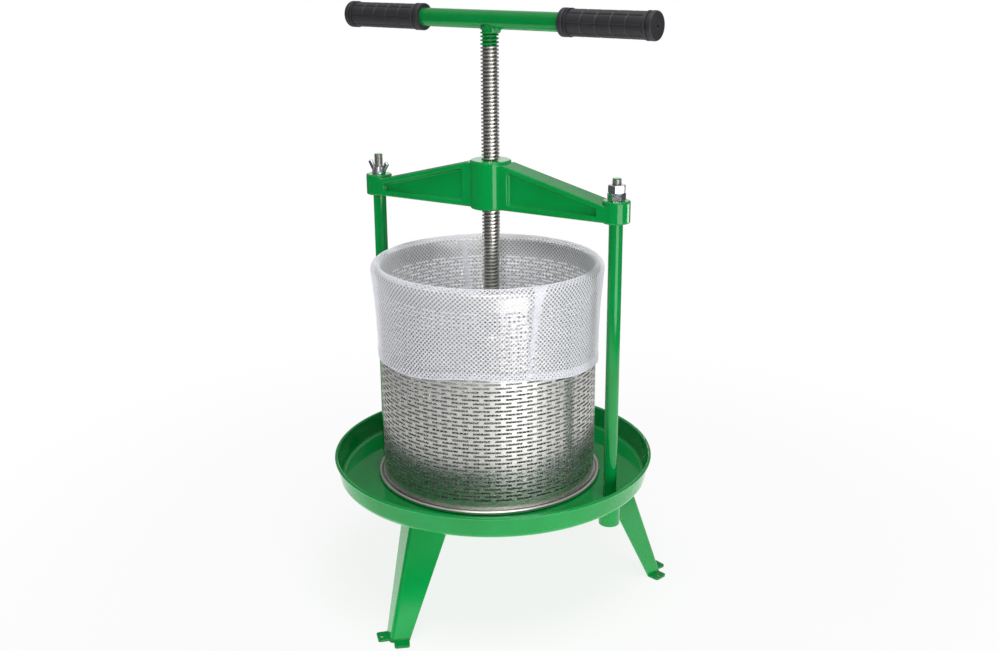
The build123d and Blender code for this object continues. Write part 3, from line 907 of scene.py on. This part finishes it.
wingSize = {
    "hub": 8.0, "hubTop": 6.4, "hubHeight": 8.0, "hubShoulder": 0.35, "bore": 5.15, "steps": 48, "root": 6.6,
    "rootHeight": 1.6, "length": 15.2, "width": 5.6, "thickness": 3.4, "lean": 36.0, "azimuth": -13.0,
    "bevel": 0.9, "bevelSteps": 3, "crease": 35,
}


def makeWingNut():
    size = wingSize
    low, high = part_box("wing_nut")
    centre = ((low + high) / 2).to_2d()
    bm = bmesh.new()
    bore, hub, hubTop, height = (size[k] * mm for k in ("bore", "hub", "hubTop", "hubHeight"))
    lathe(bm, [
        (bore, low.z), (hub, low.z), (hub, low.z + size["hubShoulder"] * height), (hubTop, low.z + height),
        (bore, low.z + height),
    ], size["steps"], closed=True)
    for sign in (-1, 1):
        lean = Matrix.Rotation(sign * math.radians(size["lean"]), 4, "Y")
        place = Matrix.Translation((sign * size["root"] * mm, 0, low.z + size["rootHeight"] * mm)) @ lean
        box = bmesh.ops.create_cube(bm, size=1.0)["verts"]
        shape = Matrix.Diagonal((size["width"] * mm, size["thickness"] * mm, size["length"] * mm, 1))
        lift = Matrix.Translation((0, 0, size["length"] / 2 * mm))
        bmesh.ops.transform(bm, matrix=place @ lift @ shape, verts=box)
        edges = list(dict.fromkeys(e for v in box for e in v.link_edges))
        bmesh.ops.bevel(
            bm, geom=edges, offset=size["bevel"] * mm, segments=size["bevelSteps"], affect="EDGES",
            profile=0.5,
        )
    turn = Matrix.Rotation(math.radians(size["azimuth"]), 4, "Z")
    bm.transform(Matrix.Translation((centre.x, centre.y, 0)) @ turn)
    piece = toObject("wingNut", bm, [zincPlate])
    sharpen(piece, size["crease"])
    settle(piece, "wing_nut", "zinc_plate", "wing_nut")


makeWingNut()
print("wing nut made")


# Stage, lights and camera: distances in metres, angles in degrees

studio = {
    "floorRadius": 6.0, "floorSteps": 96, "floorDrop": 0.2 * mm, "shadowReach": (0.2, 1.0),
    "shadowTone": 0.84, "keyAzimuth": -30, "keyReach": 0.7, "keyGloss": (0.75, 1.8),
    "glossEdge": (0.85, 1.15), "farGloss": 0.1, "wallAzimuth": 110, "wallElevation": 14, "wallSpread": 0.5,
    "front": 0.15, "back": 0.3, "ambient": 0.2,
}
softBoxes = (
    {"azimuth": 121, "elevation": 4, "inner": 9, "outer": 14, "level": 1.0},
    {"azimuth": 0, "elevation": 90, "inner": 30, "outer": 60, "level": 0.5},
    {"azimuth": -58, "elevation": 24, "inner": 14, "outer": 42, "level": 0.55},
)
white = (1, 1, 1, 1)


def heading(azimuth, elevation):
    azimuth, elevation = math.radians(azimuth), math.radians(elevation)
    level = math.cos(elevation)
    return Vector((math.cos(azimuth) * level, math.sin(azimuth) * level, math.sin(elevation)))


# Matt white paper: it keeps the shadow round the feet and runs out into the white of the backdrop
def makeStage():
    material, tree, place = newMaterial("matt_white_paper")
    path = addNode(tree, "LightPath")
    inCamera, inGloss = path.outputs["Is Camera Ray"], path.outputs["Is Glossy Ray"]
    reach = addNode(tree, "VectorMath", {0: place}, operation="LENGTH")
    fade = addNode(tree, "MapRange", {
        "Value": reach.outputs["Value"], "From Min": studio["shadowReach"][0],
        "From Max": studio["shadowReach"][1], "To Min": studio["shadowTone"], "To Max": 1.0,
    }, interpolation_type="SMOOTHSTEP")
    # in a reflection it glows with painted light: bright close by, brighter on the key's side as a painted
    # pool of the key's light, and it ends in the dim room
    keySide = addNode(tree, "VectorMath", {
        0: place, 1: heading(studio["keyAzimuth"], 0),
    }, operation="DOT_PRODUCT")
    # painted pool of the key's light, seen only in reflections
    lit = addNode(tree, "MapRange", {
        "Value": keySide.outputs["Value"], "From Min": -studio["keyReach"], "From Max": studio["keyReach"],
        "To Min": studio["keyGloss"][0], "To Max": studio["keyGloss"][1],
    })
    paintedFloorGlow = addNode(tree, "MapRange", {
        "Value": reach.outputs["Value"], "From Min": studio["glossEdge"][0],
        "From Max": studio["glossEdge"][1], "To Min": lit.outputs[0], "To Max": studio["farGloss"],
    }, interpolation_type="SMOOTHSTEP")
    inView = addNode(tree, "Math", {0: inCamera, 1: fade.outputs[0]}, operation="MULTIPLY")
    share = addNode(tree, "Math", {0: inGloss, 1: inView.outputs[0]}, operation="MAXIMUM")
    strength = addNode(tree, "Math", {0: inGloss, 1: paintedFloorGlow.outputs[0], 2: inCamera}, operation="MULTIPLY_ADD")
    paper = addNode(tree, "BsdfDiffuse", {"Color": linear("#f0f0f0")})
    glow = addNode(tree, "Emission", {"Color": white, "Strength": strength.outputs[0]})
    mixed = addNode(tree, "MixShader", {0: share.outputs[0], 1: paper.outputs[0], 2: glow.outputs[0]})
    addNode(tree, "OutputMaterial", {"Surface": mixed.outputs[0]})
    bm = bmesh.new()
    bmesh.ops.create_circle(bm, cap_ends=True, radius=studio["floorRadius"], segments=studio["floorSteps"])
    floor = toObject("floor", bm, [material])
    floor.location.z = -studio["floorDrop"]


# Plain white to the camera. In gloss: a pale wall behind, a dim room in front, and soft boxes
# behind, overhead and above the camera
def makeWorld():
    world = bpy.data.worlds.new("studio")
    bpy.context.scene.world = world
    world.use_nodes = True
    tree = world.node_tree
    tree.nodes.clear()
    path = addNode(tree, "LightPath")
    way = addNode(tree, "TexCoord").outputs["Generated"]
    seen = addNode(tree, "Math", {
        0: path.outputs["Is Camera Ray"], 1: path.outputs["Is Transmission Ray"],
    }, operation="MAXIMUM")
    toward = addNode(tree, "VectorMath", {
        0: way, 1: heading(studio["wallAzimuth"], studio["wallElevation"]),
    }, operation="DOT_PRODUCT")
    wall = addNode(tree, "MapRange", {
        "Value": toward.outputs["Value"], "From Min": -studio["wallSpread"], "From Max": studio["wallSpread"],
        "To Min": studio["front"], "To Max": studio["back"],
    }, interpolation_type="SMOOTHSTEP")
    shine = wall.outputs[0]
    for box in softBoxes:
        beside = addNode(tree, "VectorMath", {
            0: way, 1: heading(box["azimuth"], box["elevation"]),
        }, operation="DOT_PRODUCT")
        patch = addNode(tree, "MapRange", {
            "Value": beside.outputs["Value"], "From Min": math.cos(math.radians(box["outer"])),
            "From Max": math.cos(math.radians(box["inner"])), "To Min": 0.0, "To Max": box["level"],
        }, interpolation_type="SMOOTHSTEP")
        shine = addNode(tree, "Math", {0: shine, 1: patch.outputs[0]}, operation="ADD").outputs[0]
    level = addNode(tree, "Mix", {
        "Factor": path.outputs["Is Glossy Ray"], "A": studio["ambient"], "B": shine,
    })
    room = addNode(tree, "Background", {"Color": white, "Strength": level.outputs["Result"]})
    backdrop = addNode(tree, "Background", {"Color": white, "Strength": 1.0})
    mixed = addNode(tree, "MixShader", {0: seen.outputs[0], 1: room.outputs[0], 2: backdrop.outputs[0]})
    addNode(tree, "OutputWorld", {"Surface": mixed.outputs[0]})


# gloss False gives no shine, diffuse False gives shine alone, onlyOn lights no other piece
# a spot's size is its lamp's radius and its cone
lampTarget = (0, 0, 0.3)
lamps = (
    {"name": "backTop", "kind": "AREA", "azimuth": 104, "elevation": 42, "distance": 2.2, "power": 3,
     "size": (2.0, 1.2)},
    {"name": "topFront", "kind": "AREA", "azimuth": -40, "elevation": 75, "distance": 3.2, "power": 70,
     "size": (1.8, 1.8)},
    {"name": "keyRight", "kind": "AREA", "azimuth": -29, "elevation": -5, "distance": 1.2, "power": 6.2,
     "size": (0.8, 0.5)},
    {"name": "fillLeft", "kind": "AREA", "azimuth": -160, "elevation": -5, "distance": 1.3, "power": 5.5,
     "size": (0.9, 0.45), "gloss": False},
    {"name": "fromFloor", "kind": "AREA", "azimuth": 0, "elevation": -90, "distance": 0.297, "power": 3.4,
     "size": (0.9, 0.9), "gloss": False},
    {"name": "intoDrum", "kind": "SPOT", "azimuth": -60, "elevation": 26, "distance": 1.5, "power": 42,
     "size": (0.12, 12), "blend": 0.7, "target": (-0.065, 0.1, 0.37)},
    {"name": "beamShine", "kind": "AREA", "azimuth": 45, "elevation": -17, "distance": 1.3, "power": 5,
     "size": (0.6, 0.3), "target": (0, 0, 0.48), "diffuse": False, "onlyOn": ("crossbeam",)},
    {"name": "drumFront", "kind": "AREA", "azimuth": -25, "elevation": 14, "distance": 1.5, "power": 15,
     "size": (1.2, 0.5), "target": (0, 0, 0.22), "diffuse": False, "onlyOn": ("drumSheet",)},
)


def makeLamps():
    for lamp in lamps:
        light = bpy.data.lights.new(lamp["name"], lamp["kind"])
        if lamp["kind"] == "AREA":
            light.shape = "RECTANGLE"
            light.size, light.size_y = lamp["size"]
        else:
            light.shadow_soft_size = lamp["size"][0]
            light.spot_size = math.radians(lamp["size"][1])
            light.spot_blend = lamp["blend"]
        light.energy = lamp["power"]
        away = heading(lamp["azimuth"], lamp["elevation"])
        holder = bpy.data.objects.new(lamp["name"], light)
        holder.location = Vector(lamp.get("target", lampTarget)) + away * lamp["distance"]
        holder.rotation_euler = away.to_track_quat("Z", "Y").to_euler()
        holder.visible_camera = False
        holder.visible_glossy = lamp.get("gloss", True)
        holder.visible_diffuse = lamp.get("diffuse", True)
        if "onlyOn" in lamp:
            lit = bpy.data.collections.new(lamp["name"])
            for name in lamp["onlyOn"]:
                lit.objects.link(bpy.data.objects[name])
            holder.light_linking.receiver_collection = lit
        bpy.context.scene.collection.objects.link(holder)


# Fitted to the photo: distance and height in mm from the frame's origin, focal length in pixels
cameraSize = {
    "azimuth": -57.682, "distance": 1325.8, "height": 734.8, "yaw": -0.378, "pitch": 17.642, "roll": 0.374,
    "focalPixels": 1199.285, "imageWidth": 999, "sensorWidth": 36, "clipEnd": 50,
}


def makeCamera():
    size = cameraSize
    camera = bpy.data.cameras.new("camera")
    camera.sensor_fit = "HORIZONTAL"
    camera.sensor_width = size["sensorWidth"]
    camera.lens = size["focalPixels"] * camera.sensor_width / size["imageWidth"]
    camera.clip_end = size["clipEnd"]
    holder = bpy.data.objects.new("camera", camera)
    azimuth = math.radians(size["azimuth"])
    facing = azimuth + math.pi + math.radians(size["yaw"])
    pitch, roll = math.radians(size["pitch"]), math.radians(size["roll"])
    level = math.cos(pitch)
    forward = Vector((math.cos(facing) * level, math.sin(facing) * level, -math.sin(pitch)))
    right = forward.cross(Vector((0, 0, 1))).normalized()
    down = forward.cross(right)
    rolledRight = right * math.cos(roll) + down * math.sin(roll)
    rolledDown = down * math.cos(roll) - right * math.sin(roll)
    turned = Matrix((rolledRight, -rolledDown, -forward)).transposed().to_4x4()
    turned.translation = Vector((
        math.cos(azimuth) * size["distance"], math.sin(azimuth) * size["distance"], size["height"],
    )) * mm
    holder.matrix_world = turned
    bpy.context.scene.collection.objects.link(holder)
    bpy.context.scene.camera = holder


makeStage()
makeWorld()
makeLamps()
makeCamera()
bpy.context.scene.view_settings.view_transform = "Standard"
print("stage, lamps and camera set")
